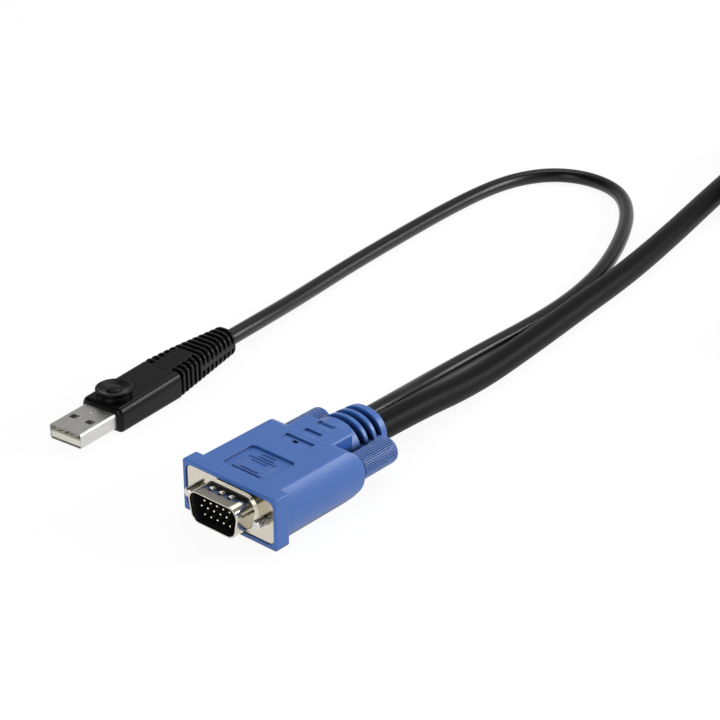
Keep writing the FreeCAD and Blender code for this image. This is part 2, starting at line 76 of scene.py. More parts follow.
world = bpy.data.worlds.new("studio")
world.use_nodes = True
tree = world.node_tree
tree.nodes.clear()
soft_light = add_node(tree, "ShaderNodeBackground", {"Color": linear("#ffffff"), "Strength": 0.45})
direction = add_node(tree, "ShaderNodeTexCoord").outputs["Generated"]
axes = add_node(tree, "ShaderNodeSeparateXYZ", {"Vector": direction})
wall_to_ceiling = add_node(tree, "ShaderNodeMapRange", {
    "Value": axes.outputs["Z"], "From Min": 0.1, "From Max": 0.42, "To Min": 1.0, "To Max": 0.3})
front_to_back = add_node(tree, "ShaderNodeMapRange", {
    "Value": axes.outputs["Y"], "From Min": -0.35, "From Max": 0.1, "To Min": 0.12, "To Max": 1.0})
low_wall = add_node(tree, "ShaderNodeMapRange", {
    "Value": axes.outputs["Z"], "From Min": 0.05, "From Max": 0.2, "To Min": 1.0,
    "To Max": front_to_back.outputs["Result"]})
seen_level = add_node(tree, "ShaderNodeMath", {0: wall_to_ceiling.outputs["Result"], 1: low_wall.outputs["Result"]},
                      operation="MULTIPLY")
white_wall = add_node(tree, "ShaderNodeBackground", {"Color": linear("#ffffff"), "Strength": seen_level.outputs[0]})
wall_or_light = add_node(tree, "ShaderNodeMixShader", {
    0: seen_directly(tree), 1: soft_light.outputs[0], 2: white_wall.outputs[0]})
add_node(tree, "ShaderNodeOutputWorld", {"Surface": wall_or_light.outputs[0]})
bpy.context.scene.world = world
bpy.context.scene.view_settings.view_transform = "Standard"

floor_half = 3.0
floor_corners = [(x * floor_half, y * floor_half, 0) for x, y in ((-1, -1), (1, -1), (1, 1), (-1, 1))]
floor_mesh = bpy.data.meshes.new("floor")
floor_mesh.from_pydata(floor_corners, [], [(0, 1, 2, 3)])
floor = bpy.data.objects.new("floor", floor_mesh)
bpy.context.scene.collection.objects.link(floor)
# Paper that takes the shadows as a pale grey and shows most of itself as white.
white_share = 0.82
pale_paper = bpy.data.materials.new("pale_paper")
pale_paper.use_nodes = True
tree = pale_paper.node_tree
tree.nodes.clear()
paper = add_node(tree, "ShaderNodeBsdfDiffuse", {"Color": linear("#cfcfcf")})
paper_white = add_node(tree, "ShaderNodeEmission", {"Color": linear("#ffffff"), "Strength": 1.1})
paper_share = add_node(tree, "ShaderNodeMath", {0: seen_directly(tree), 1: white_share}, operation="MULTIPLY")
paper_mix = add_node(tree, "ShaderNodeMixShader", {
    0: paper_share.outputs[0], 1: paper.outputs[0], 2: paper_white.outputs[0]})
add_node(tree, "ShaderNodeOutputMaterial", {"Surface": paper_mix.outputs[0]})
floor_mesh.materials.append(pale_paper)

lamp_aim = Vector((-0.02, 0.06, 0.0))
for lamp_name, lamp_place, lamp_size, lamp_power in (
        ("lamp_above", (-0.2, 0.5, 0.95), 0.7, 2.6),
        ("lamp_right", (0.6, 0.75, 0.42), 0.42, 5.4),
        ("lamp_front", (0.25, -1.0, 0.4), 0.7, 3.4)):
    lamp_data = bpy.data.lights.new(lamp_name, "AREA")
    lamp_data.size = lamp_size
    lamp_data.energy = lamp_power
    lamp = bpy.data.objects.new(lamp_name, lamp_data)
    lamp.location = lamp_place
    lamp.rotation_euler = (lamp_aim - lamp.location).to_track_quat("-Z", "Y").to_euler()
    bpy.context.scene.collection.objects.link(lamp)

camera_data = bpy.data.cameras.new("camera")
camera_data.sensor_width = 36.0
camera_data.lens = 105.0
camera_data.shift_y = 0.0019
camera = bpy.data.objects.new("camera", camera_data)
camera.location = (0.3367, -0.35974, 0.29548)
camera_turn = radians(41.013)
camera_tilt = radians(27.384)
camera.rotation_euler = (pi / 2 - camera_tilt, 0, camera_turn)
bpy.context.scene.collection.objects.link(camera)
bpy.context.scene.camera = camera


# Inner mould: the block of natural polyethylene that is cast round the back of the connector and the wires.
# Nothing of it shows once the hood is moulded over it, so the CAD solid stays and gets its waxy finish.
def new_finish(name, values):
    """Node material, with its tree and its surface shader, which gets those values."""
    finish = bpy.data.materials.new(name)
    finish.use_nodes = True
    finish.node_tree.nodes.clear()
    shader = add_node(finish.node_tree, "ShaderNodeBsdfPrincipled", values)
    add_node(finish.node_tree, "ShaderNodeOutputMaterial", {"Surface": shader.outputs[0]})
    return finish, finish.node_tree, shader


def per_mm(size_mm):
    """Texture scale, in metres, at which a pattern's own size is size_mm."""
    return 1000 / size_mm


def mottled_finish(name, size_mm, detail, first, second, values):
    """Material that drifts between two colours in patches of size_mm, with its tree, shader, patches and colour."""
    finish, tree, shader = new_finish(name, values)
    where = add_node(tree, "ShaderNodeTexCoord").outputs["Object"]
    patches = add_node(tree, "ShaderNodeTexNoise", {"Vector": where, "Scale": per_mm(size_mm), "Detail": detail})
    colour = add_node(tree, "ShaderNodeMix", {
        "Factor": patches.outputs["Fac"], "A": linear(first), "B": linear(second)}, data_type="RGBA")
    tree.links.new(colour.outputs["Result"], shader.inputs["Base Color"])
    return finish, tree, shader, patches.outputs["Fac"], colour.outputs["Result"]


def coat(node_name, finish):
    """Puts a finish on a CAD solid that shows as it is."""
    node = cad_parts[node_name]
    node.data.materials.clear()
    node.data.materials.append(finish)
    return node


# Waxy, half clear and unevenly cloudy: clouds are about 3 mm across.
waxy_polyethylene = mottled_finish("natural_polyethylene", 3.0, 3.0, "#d9d6cb", "#ece9e0", {
    "Roughness": 0.4, "Subsurface Weight": 0.3, "Subsurface Radius": (0.002, 0.002, 0.002)})[0]
coat("video_inner_mould", waxy_polyethylene)


# Insulators: the black glass-filled nylon block of each 15-pin plug, which holds the pins in three rows.
# Injection moulded and pushed into the shell from behind, with a small raised collar round each pin. A thin black lip
# that lines the shell's collar is painted shade: a dark sheet that keeps the mouth dark inside.
plug_places = {}
for plug in ("video", "console"):
    low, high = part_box(plug + "_hood")
    plug_places[plug] = ((low.x + high.x) / 2, low.y, 0)
axis_z = 7.8
mouth_width = 17.9
mouth_height = 8.65
mouth_right = 0.3
mouth_drop = 0.15
mouth_corner = 2.6
mouth_lean = radians(10)
pin_pitch = 2.29
pins_per_row = 5
pin_rows = ((pin_pitch / 4, 1.98), (-pin_pitch / 4, 0.0), (pin_pitch / 4, -2.3))


def loft(rings, tube=False):
    """Skin through rings of as many points each, flat at both ends or, for a tube's wall, back to the start."""
    count = len(rings[0])
    points = [point for ring in rings for point in ring]
    starts = list(range(0, len(points), count))
    faces = [] if tube else [tuple(range(count)), tuple(range(starts[-1], len(points)))]
    for start, ahead in zip(starts, starts[1:] + ([0] if tube else [])):
        for i in range(count):
            j = (i + 1) % count
            faces.append((start + i, start + j, ahead + j, ahead + i))
    return points, faces


def skin_mesh(name, skins, unit):
    """Mesh of one or more closed skins in millimetres, facing outward; its own unit is that many millimetres."""
    points = []
    faces = []
    for skin_points, skin_faces in skins:
        faces += [tuple(len(points) + i for i in face) for face in skin_faces]
        points += [tuple(c / unit for c in point) for point in skin_points]
    mesh = bpy.data.meshes.new(name)
    mesh.from_pydata(points, [], faces)
    made = bmesh.new()
    made.from_mesh(mesh)
    bmesh.ops.recalc_face_normals(made, faces=made.faces)
    made.to_mesh(mesh)
    made.free()
    return mesh


def piece(name, skins, finish, place=(0, 0, 0), turn=0, sharp=32):
    """Object of one or more closed skins in millimetres, at its place in metres, smooth up to the sharp angle."""
    mesh = skin_mesh(name, skins, 1000)
    mesh.shade_smooth()
    mesh.set_sharp_from_angle(angle=radians(sharp))
    mesh.materials.append(finish)
    thing = bpy.data.objects.new(name, mesh)
    thing.location = place
    thing.rotation_euler.z = turn
    bpy.context.scene.collection.objects.link(thing)
    even = thing.modifiers.new("even_normals", "WEIGHTED_NORMAL")
    even.keep_sharp = True
    return thing


def rounded_run(y_from, y_to, radius_from, radius_to, steps=4):
    """(y, inset) pairs of a run along Y with a quarter round at each end."""
    angles = [pi / 2 * i / steps for i in range(steps + 1)]
    start = [(y_from + radius_from * (1 - cos(angle)), radius_from * (1 - sin(angle))) for angle in angles]
    return start + [(y_to - radius_to * (1 - sin(angle)), radius_to * (1 - cos(angle))) for angle in angles]


def d_ring(grow, y, top_steps=10, corner_steps=8, side_steps=6):
    """Points round the connector's D, wide side up, moved outward by grow."""
    top = mouth_height / 2 + grow
    wide = mouth_width / 2 + grow * (1 / cos(mouth_lean) + tan(mouth_lean))
    narrow = wide - 2 * top * tan(mouth_lean)
    corners = [(wide, top), (-wide, top), (-narrow, -top), (narrow, -top)]
    radius = mouth_corner + grow
    turns = [pi / 2 + lean for lean in (mouth_lean, mouth_lean, -mouth_lean, -mouth_lean)]
    start_angle = -mouth_lean
    sides = (top_steps, side_steps, top_steps, side_steps)
    rounds = []
    for (x, z), turn in zip(corners, turns):
        bisector = start_angle + turn / 2
        reach = radius / cos(turn / 2)
        centre = (x - reach * cos(bisector), z - reach * sin(bisector))
        arc = []
        for k in range(corner_steps + 1):
            angle = start_angle + turn * k / corner_steps
            arc.append((centre[0] + radius * cos(angle), centre[1] + radius * sin(angle)))
        rounds.append(arc)
        start_angle += turn
    ring = []
    for i in range(4):
        ring += rounds[i]
        ahead = rounds[(i + 1) % 4][0]
        last = rounds[i][-1]
        for k in range(1, sides[i]):
            share = k / sides[i]
            ring.append((last[0] + (ahead[0] - last[0]) * share, last[1] + (ahead[1] - last[1]) * share))
    return [(x + mouth_right, y, axis_z + z - mouth_drop) for x, z in ring]


def pin_places():
    """Pin centres across the plug: the middle row stands half a pitch to the left."""
    middle = (pins_per_row - 1) / 2
    return [((i - middle) * pin_pitch + along, axis_z + rise) for along, rise in pin_rows for i in range(pins_per_row)]


def round_ring(x, z, radius, y, steps):
    """Upright circle of points round a place across the plug."""
    return [(x + radius * cos(2 * pi * i / steps), y, z + radius * sin(2 * pi * i / steps))
            for i in range(steps)]


# Near black and matt, with short glass fibres that leave a fine grain of about 0.3 mm.
black_nylon = mottled_finish("black_glass_filled_nylon", 0.3, 2.0, "#060607", "#0d0d0e", {
    "Roughness": 0.6, "IOR": 1.53})[0]
insulator_front = 0.7
insulator_back = 7.2
insulator_round = 0.2
insulator_play = 0.05
# Pin collar: radius and distance behind the block's face. Painted shade lip: y and outward growth from the mouth.
pin_collar = ((0.62, 0.1), (0.62, -0.06), (0.56, -0.12))
shade_lining_profile = ((0.9, -0.02), (-5.6, -0.02), (-5.7, -0.06), (-5.6, -0.16), (0.9, -0.16))
block = rounded_run(insulator_front, insulator_back, insulator_round, insulator_round, 2)
skins = [loft([d_ring(-insulator_play - inset, y) for y, inset in block])]
for x, z in pin_places():
    skins.append(loft([round_ring(x, z, radius, insulator_front + behind, 12) for radius, behind in pin_collar]))
# The lip: a black sheet inside the shell's collar, painted shade that keeps the mouth dark.
skins.append(loft([d_ring(grow, y) for y, grow in shade_lining_profile], tube=True))
insulators = {}
for plug, place in plug_places.items():
    insulators[plug] = piece(plug + "_insulator_block", skins, black_nylon, place)
    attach(insulators[plug], "cable")
    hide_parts(plug + "_insulator")


# Pins: fifteen turned brass contacts in each plug, plated pale gold over nickel, with round tips.
# They are pressed into the insulator and stop 1.3 mm behind the mouth of the shell.
def shade_corners(tree, shader, colour, reach_mm, shut, wide, dark):
    """Lets a colour fall to a dark one where faces within reach_mm shut the light out."""
    closed_in = add_node(tree, "ShaderNodeAmbientOcclusion", {"Distance": reach_mm / 1000}, samples=8)
    open_share = add_node(tree, "ShaderNodeMapRange", {
        "Value": closed_in.outputs["AO"], "From Min": shut, "From Max": wide})
    shaded = add_node(tree, "ShaderNodeMix", {
        "Factor": open_share.outputs["Result"], "A": linear(dark), "B": colour}, data_type="RGBA")
    tree.links.new(shaded.outputs["Result"], shader.inputs["Base Color"])


# Smooth plated metal, so small that the eye gets only a pale dot at each tip; painted shade darkens the shafts deeper
# in the mouth.
plated_brass, tree, shader, _, pale = mottled_finish("pale_plated_brass", 0.8, 2.0, "#e6dcc4", "#f3eee0", {
    "Metallic": 1.0, "Roughness": 0.3})
shade_corners(tree, shader, pale, 4.0, 0.35, 0.75, "#14120e")
pin_radius = 0.38
pin_tip = -5.1
pin_tip_round = 0.3
pin_seat = 0.2
shaft = rounded_run(pin_tip, insulator_front + pin_seat, pin_tip_round, 0.02, 4)
skins = [loft([round_ring(x, z, pin_radius - inset, y, 14) for y, inset in shaft]) for x, z in pin_places()]
pin_sets = {}
for plug, place in plug_places.items():
    pin_sets[plug] = piece(plug + "_contact_pins", skins, plated_brass, place)
    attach(pin_sets[plug], "cable")
    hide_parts(plug + "_pins")


# Front shells: one drawing of thin steel for each plug, a flat plate with the D collar pulled out of it.
# Nickel plated, with three spring dimples pressed into the collar's wide side and two clear screw holes.
# The drawing leaves a shallow skirt round the collar's root.
def cut_skin(skin, cutters):
    """Skin with the space of closed cutter skins taken out of it."""
    solids = []
    for solid_skin in [skin] + cutters:
        solids.append(bpy.data.objects.new("uncut", skin_mesh("uncut", [solid_skin], 1)))
        bpy.context.scene.collection.objects.link(solids[-1])
    for cutter in solids[1:]:
        step = solids[0].modifiers.new("cut", "BOOLEAN")
        step.operation = "DIFFERENCE"
        step.solver = "EXACT"
        step.object = cutter
    shape = solids[0].evaluated_get(bpy.context.evaluated_depsgraph_get()).to_mesh()
    points = [tuple(v.co) for v in shape.vertices]
    faces = [tuple(p.vertices) for p in shape.polygons]
    for thing in solids:
        old = thing.data
        bpy.data.objects.remove(thing)
        bpy.data.meshes.remove(old)
    return points, faces


def rounded_ring(half_width, half_height, radius, y, middle_z=axis_z, steps=6):
    """Upright rounded rectangle of points across the plug."""
    ring = []
    for i, (side, rise) in enumerate(((1, 1), (-1, 1), (-1, -1), (1, -1))):
        x = side * (half_width - radius)
        z = middle_z + rise * (half_height - radius)
        for k in range(steps + 1):
            angle = pi / 2 * (i + k / steps)
            ring.append((x + radius * cos(angle), y, z + radius * sin(angle)))
    return ring


# Bright nickel with the faint warm cast of the plating, drawn smooth, with soft blotches of about 2 mm. On upward
# faces close under the hood, such as the collar's upper face, a painted dark reflection gives a nearly black mirror.
nickel, tree, shader, blotches, warm = mottled_finish("nickel_plated_steel", 2.0, 4.0, "#c9c2b3", "#ddd8cc", {
    "Metallic": 1.0})
# Painted dark reflection: upward faces go near black where the hood and plate close in over them.
closed_in = add_node(tree, "ShaderNodeAmbientOcclusion", {"Distance": 0.006}, samples=8)
shut_share = add_node(tree, "ShaderNodeMapRange", {
    "Value": closed_in.outputs["AO"], "From Min": 0.72, "From Max": 0.94, "To Min": 0.62, "To Max": 0.0})
face = add_node(tree, "ShaderNodeSeparateXYZ", {"Vector": add_node(tree, "ShaderNodeNewGeometry").outputs["Normal"]})
upward = add_node(tree, "ShaderNodeMapRange", {"Value": face.outputs["Z"], "From Min": 0.75, "From Max": 0.97})
painted_reflection_share = add_node(tree, "ShaderNodeMath", {0: shut_share.outputs["Result"], 1: upward.outputs["Result"]},
                      operation="MULTIPLY")
painted_dark_reflection = add_node(tree, "ShaderNodeMix", {"Factor": painted_reflection_share.outputs[0], "A": warm, "B": linear("#1c1a17")},
                    data_type="RGBA")
tree.links.new(painted_dark_reflection.outputs["Result"], shader.inputs["Base Color"])
rubbed = add_node(tree, "ShaderNodeMapRange", {"Value": blotches, "To Min": 0.1, "To Max": 0.2})
tree.links.new(rubbed.outputs["Result"], shader.inputs["Roughness"])
where = add_node(tree, "ShaderNodeTexCoord").outputs["Object"]
scratches = add_node(tree, "ShaderNodeTexNoise", {"Vector": where, "Scale": per_mm(0.4), "Detail": 3.0})
scuffed = add_node(tree, "ShaderNodeBump", {
    "Height": scratches.outputs["Fac"], "Strength": 0.04, "Distance": 0.0001})
tree.links.new(scuffed.outputs["Normal"], shader.inputs["Normal"])
plate_front = 0.45
plate_back = 0.85
plate_half_width = 15.9
plate_half_height = 6.5
plate_corner = 2.0
plate_rounds = (0.12, 0.1)
clear_hole_radius = 1.5
clear_hole_reach = (-1, 2)
collar_hole = 0.1
shell_wall = 0.45
shell_reach = 6.4
# Skirt and rim: y from the plate's face or from the mouth, and outward growth from the mouth's D.
skirt = ((0.05, 1.8), (0.0, 1.65), (-0.12, 1.22), (-0.26, 0.76), (-0.33, 0.62), (-0.46, 0.5), (-0.66, shell_wall))
rim = ((0.15, shell_wall), (0.05, 0.42), (0.0, 0.36), (0.0, 0.06), (0.06, 0.0))
wall_front = -0.35
wall_step = 0.2
wall_rings = 29
inside = ((-4.5, 0.0), (plate_back - 0.05, 0.0))
screw_sides = {"left": -12.495, "right": 12.495}
dimple_places = ((-3.47, -2.4), (0.0, -2.4), (3.47, -2.4))
dimple_radius = 1.1
dimple_stretch = 0.85
dimple_depth = 0.42
# Only the outer face takes dimples, past this growth, and only the wide side, over this height.
dimple_grow = 0.3
dimple_above = axis_z + 3
collar_profile = [(plate_front + y, grow) for y, grow in skirt]
collar_profile += [(wall_front - wall_step * i, shell_wall) for i in range(wall_rings)]
collar_profile += [(y - shell_reach, grow) for y, grow in rim]
collar_profile += inside
plate = loft([rounded_ring(plate_half_width - inset, plate_half_height - inset, plate_corner - inset, y)
              for y, inset in rounded_run(plate_front, plate_back, *plate_rounds, 3)])
clear_holes = [loft([round_ring(x, axis_z, clear_hole_radius, y, 40) for y in clear_hole_reach])
               for x in screw_sides.values()]
clear_holes.append(loft([d_ring(collar_hole, y) for y in clear_hole_reach]))
rings = []
for y, grow in collar_profile:
    ring = []
    for x, at_y, z in d_ring(grow, y, top_steps=64, corner_steps=12):
        if grow > dimple_grow and z > dimple_above:
            for dimple_x, dimple_y in dimple_places:
                share = hypot(x - dimple_x, (at_y - dimple_y) * dimple_stretch) / dimple_radius
                if share < 1:
                    z -= dimple_depth * (1 - share * share) ** 2
        ring.append((x, at_y, z))
    rings.append(ring)
skins = [cut_skin(plate, clear_holes), loft(rings, tube=True)]
front_shells = {}
for plug, place in plug_places.items():
    front_shells[plug] = piece(plug + "_shell", skins, nickel, place, sharp=40)
    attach(front_shells[plug], "cable")
    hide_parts(plug + "_front_shell")


# Hoods: the blue PVC overmould of each 15-pin plug, one shot round the connector, the screws' sleeves and the cable.
# Flange, bowed body, neck with finger recesses and a slotted sleeve that lets the cable bend; sign panel on top.
half_height = 7.8
hood_top = 2 * half_height
hood_sink = 0.006
flange_half_width = 17.0
flange_length = 5.0
flange_corner = 0.6
flange_round = 0.3
flange_dive = 0.1
recess_half_width = 15.95
recess_half_height = 6.55
recess_corner = 2.05
recess_bevel = 0.1
recess_back = 0.95
body_half_width = 16.5
body_bow = 2.5
body_crease = 0.7
wing_length = 30.8
wing_end = 35.8
wing_flat = 1.2
wing_rise = half_height - wing_flat
wing_radius = (wing_rise ** 2 + (wing_end - wing_length) ** 2) / (2 * (wing_end - wing_length))
wing_turn = asin(wing_rise / wing_radius)
wing_low_from = 28.5
wing_low_end = 3.6
wing_steps = 14
body_reach = (2.0, 5.5, wing_low_from, 29.4, wing_length - 0.4)
bore_radius = 1.74
bore_reach = (-1, 40)
cut_above = 17.0
panel_half_width = 8.0
panel_half_length = 6.1
panel_corner = 1.4
panel_bevel = 0.1
panel_middle = (0, 11.7)
panel_floor = 14.85
louvre_length = 3.0
louvre_depth = 0.6
body_louvre = (28.4, 10.2)
neck_louvres = ((33.9, 5.9), (39.4, 5.9))
# Locating hole in the body's top: limits in x, y and z.
hole_limits = (-1.4, 0.6, 25.6, 27.1, 12.3, cut_above)
neck_half_width = 8.4
neck_corner = 0.9
neck_front = 30.2
neck_back = 40.0
neck_round = 0.5
sleeve_start = 39.0
sleeve_end = 55.6
sleeve_half_width = 8.4
sleeve_half_height = 7.76
sleeve_narrows = 0.7
sleeve_falls = 0.75
sleeve_square = 0.9
sleeve_mean_height = 7.5
ring_round = 0.25
sleeve_rings = ((sleeve_start, 43.55, ring_round), (45.65, 47.15, ring_round), (49.25, 50.75, ring_round),
                (52.85, sleeve_end, 0.7))
web_half_height = 1.4
web_inside = 4.0
web_sink = 0.05
web_front = 39.5
web_step = 2.5
web_rings = 7
# Sign on the panel: a plain screen on a foot, as raised lines. Half width, half length and middle of each line.
sign_frames = ((5.3, 3.6, (-0.2, 10.4)), (3.3, 2.4, (-0.2, 10.4)), (2.9, 0.95, (-0.2, 15.6)))
sign_line = 0.42
sign_foot = 14.75
sign_top = 15.12


def wing_low(y):
    """Depth of the body's lower face under its axis, which rises to the wing's lower rear corner."""
    share = min(1.0, max(0.0, (y - wing_low_from) / (wing_end - wing_low_from)))
    return wing_low_end + (half_height - hood_sink - wing_low_end) * (1 - share ** 2.2) ** 0.385


def barrel_quarter(height, crease):
    """Quarter of the body's section, from the middle of its flat face round a soft crease to the widest point."""
    bow = (half_height ** 2 + body_bow ** 2) / (2 * body_bow)
    bow_x = body_half_width - bow
    centre_x = bow_x + sqrt((bow - crease) ** 2 - (height - crease) ** 2)
    bow_angle = atan2(height - crease, centre_x - bow_x)
    quarter = [(centre_x * k / 6, height) for k in range(6)]
    for k in range(7):
        angle = pi / 2 + (bow_angle - pi / 2) * k / 6
        quarter.append((centre_x + crease * cos(angle), height - crease + crease * sin(angle)))
    for k in range(1, 8):
        angle = bow_angle * (1 - k / 8)
        quarter.append((bow_x + bow * cos(angle), bow * sin(angle)))
    return quarter


def barrel_ring(y, top, bottom):
    """Section of the body: flat top and bottom at those heights from its axis, bowed sides and soft creases."""
    upper = barrel_quarter(top, min(body_crease, 0.5 * top))
    lower = barrel_quarter(bottom, min(body_crease, 0.5 * bottom))
    right = upper + [(body_half_width, 0.0)] + [(x, -z) for x, z in lower[::-1]]
    full = right + [(-x, z) for x, z in right[-2:0:-1]]
    return [(x, y, axis_z + z) for x, z in full]


def box_skin(x_from, x_to, y_from, y_to, z_from, z_to):
    """Plain box between those limits."""
    return loft([[(x_from, y, z_from), (x_to, y, z_from), (x_to, y, z_to), (x_from, y, z_to)]
                 for y in (y_from, y_to)])


def louvre_cutter(y, width):
    """Finger recess: a ramp down to an upright wall at y."""
    side = [(y - louvre_length, hood_top), (y - louvre_length + 0.1, hood_top - 0.07), (y, hood_top - louvre_depth),
            (y, hood_top - 0.13), (y + 0.08, hood_top - 0.03), (y + 0.08, cut_above), (y - louvre_length, cut_above)]
    return loft([[(x, at_y, z) for at_y, z in side] for x in (-width / 2, width / 2)])


def level_ring(half_width, half_length, radius, middle, z, steps=6):
    """Level rounded rectangle of points round a place (x, y)."""
    return [(middle[0] + x, middle[1] + y, z)
            for x, _, y in rounded_ring(half_width, half_length, radius, 0, 0, steps)]


def frame_skin(half_width, half_length, line, middle, z_from, z_to):
    """Raised rectangular line, open in the middle."""
    steps = ((0, 0.5, z_from), (0.08, 0.44, z_to), (line - 0.08, 0.3, z_to), (line, 0.24, z_from))
    return loft([level_ring(half_width - less, half_length - less, corner, middle, z, 3) for less, corner, z in steps],
                tube=True)


def sleeve_point(y, inset, angle):
    """Point on the slotted sleeve: a slightly squared oval that falls away towards the cable."""
    share = (y - sleeve_start) / (sleeve_end - sleeve_start)
    half_width = sleeve_half_width - sleeve_narrows * share * share - inset
    half_tall = sleeve_half_height - sleeve_falls * share * share - inset
    across = copysign(abs(cos(angle)) ** sleeve_square, cos(angle))
    up = copysign(abs(sin(angle)) ** sleeve_square, sin(angle))
    return half_width * across, y, axis_z + half_tall * up


def oval_ring(y, inset, steps=56):
    """Section of the slotted sleeve."""
    return [sleeve_point(y, inset, 2 * pi * (i + 0.5) / steps) for i in range(steps)]


def web_skin(side):
    """Side web that joins the sleeve's rings, just under their outer face."""
    reach = asin((web_half_height / sleeve_mean_height) ** (1 / sleeve_square))
    rings = []
    for k in range(web_rings):
        y = web_front + web_step * k
        outer = [sleeve_point(y, web_sink, reach * (j / 4 - 1)) for j in range(9)]
        ring = [(side * web_inside, y, outer[0][2])]
        ring += [(side * x, at_y, z) for x, at_y, z in outer]
        rings.append(ring + [(side * web_inside, y, outer[-1][2])])
    return loft(rings)


def rough_grain(tree, shader, grain, low, high, strength):
    """Roughness between low and high and a bump 0.1 mm deep, both from one grain."""
    rough = add_node(tree, "ShaderNodeMapRange", {"Value": grain, "To Min": low, "To Max": high})
    tree.links.new(rough.outputs["Result"], shader.inputs["Roughness"])
    bumped = add_node(tree, "ShaderNodeBump", {"Height": grain, "Strength": strength, "Distance": 0.0001})
    tree.links.new(bumped.outputs["Normal"], shader.inputs["Normal"])
    return bumped


# Soft PVC moulded in a spark-eroded tool: mid blue with a satin face, grain of about 0.25 mm drawn at 0.5 mm to show,
# and slight flow clouds some 9 mm wide. Slots and grooves get a painted deep navy shade where little light gets in.
blue_pvc, tree, shader, _, tint = mottled_finish("blue_moulded_PVC", 9.0, 2.0, "#2c62b4", "#356bbc", {
    "IOR": 1.53, "Specular IOR Level": 0.7, "Sheen Weight": 0.15, "Sheen Roughness": 0.3})
shade_corners(tree, shader, tint, 3.0, 0.28, 0.72, "#0a1230")
where = add_node(tree, "ShaderNodeTexCoord").outputs["Object"]
erosion = add_node(tree, "ShaderNodeTexNoise", {"Vector": where, "Scale": per_mm(0.5), "Detail": 3.0})
pitted = rough_grain(tree, shader, erosion.outputs["Fac"], 0.36, 0.48, 0.12)
soft_edges = add_node(tree, "ShaderNodeBevel", {"Radius": 0.00025}, samples=6)
tree.links.new(soft_edges.outputs["Normal"], pitted.inputs["Normal"])
# Flange, from the recess's floor over its bevelled edge to the outer face.
flange_rings = [rounded_ring(recess_half_width + more, recess_half_height + more, recess_corner + more, y)
                for y, more in ((recess_back, 0), (recess_bevel, 0), (0.0, recess_bevel))]
for y, inset in rounded_run(0, flange_length, flange_round, 0, 3)[:4]:
    flange_rings.append(rounded_ring(flange_half_width - inset, half_height - inset, flange_corner - inset, y))
# At the back its upper and lower faces dive under the body's.
for y, dive in ((4.3, 0), (4.7, flange_dive / 2)):
    flange_rings.append(rounded_ring(flange_half_width, half_height - dive, flange_corner, y))
for y, inset in rounded_run(0, flange_length, 0, flange_round, 3)[5:]:
    flange_rings.append(rounded_ring(flange_half_width - inset, half_height - flange_dive, flange_corner - inset, y))
bores = [loft([round_ring(x, axis_z, bore_radius, y, 32) for y in bore_reach]) for x in screw_sides.values()]
flange = cut_skin(loft(flange_rings), bores)
# Body, full height up to the wings, which round off behind.
full = half_height - hood_sink
barrel_rings = [barrel_ring(y, full, wing_low(y)) for y in body_reach]
for k in range(wing_steps + 1):
    angle = wing_turn * (1 - k / wing_steps)
    y = wing_end - wing_radius * (1 - cos(angle))
    barrel_rings.append(barrel_ring(y, wing_flat + wing_radius * sin(angle) - hood_sink, wing_low(y)))
panel_steps = ((0, panel_floor), (0, hood_top - 0.14), (panel_bevel, hood_top - 0.01), (panel_bevel, cut_above))
panel = loft([level_ring(panel_half_width + more, panel_half_length + more, panel_corner + more, panel_middle, z)
              for more, z in panel_steps])
hole = box_skin(*hole_limits)
barrel = cut_skin(loft(barrel_rings), [panel, louvre_cutter(*body_louvre), hole] + bores)
neck_rings = [rounded_ring(neck_half_width - inset, half_height - 2 * hood_sink - inset, neck_corner, y, steps=5)
              for y, inset in rounded_run(neck_front, neck_back, 0.01, neck_round, 4)]
neck = cut_skin(loft(neck_rings), [louvre_cutter(*louvre) for louvre in neck_louvres])
skins = [flange, barrel, neck, web_skin(1), web_skin(-1)]
for y_from, y_to, end_round in sleeve_rings:
    skins.append(loft([oval_ring(y, inset) for y, inset in rounded_run(y_from, y_to, ring_round, end_round, 4)]))
for half_width, half_length, middle in sign_frames:
    skins.append(frame_skin(half_width, half_length, sign_line, middle, sign_foot, sign_top))
hoods = {}
for plug, place in plug_places.items():
    hoods[plug] = piece(plug + "_overmould", skins, blue_pvc, place)
    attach(hoods[plug], "cable")
    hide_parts(plug + "_hood")


# Jackscrews: two turned steel screws in each plug, with a rolled fine thread in front and a plain thinner stem behind.
# Zinc plated; the stem's back end is held in the knob, so screw and knob turn together.
thread_front = -3.0
thread_back = 0.9
thread_radius = 1.42
thread_depth = 0.36
thread_pitch = 0.635
thread_bevel = 0.35
crest_share = 0.5
flank_share = 0.25
stem_radius = 1.05
stem_front = 0.8
stem_back = 45.0


def threaded_rod(x, steps=28, rings_per_turn=12):
    """Rod with a helical thread, bevelled at its front end."""
    rings = []
    length = thread_back - thread_front
    count = int(length / (thread_pitch / rings_per_turn))
    for i in range(count + 1):
        y = thread_front + length * i / count
        bevel = max(0.0, thread_bevel - (y - thread_front))
        ring = []
        for k in range(steps):
            phase = (y / thread_pitch - k / steps) % 1
            flank = min(1.0, max(0.0, (abs(2 * phase - 1) - crest_share) / flank_share))
            r = thread_radius - max(thread_depth * flank, bevel)
            angle = 2 * pi * k / steps
            ring.append((x + r * cos(angle), y, axis_z + r * sin(angle)))
        rings.append(ring)
    return loft(rings)


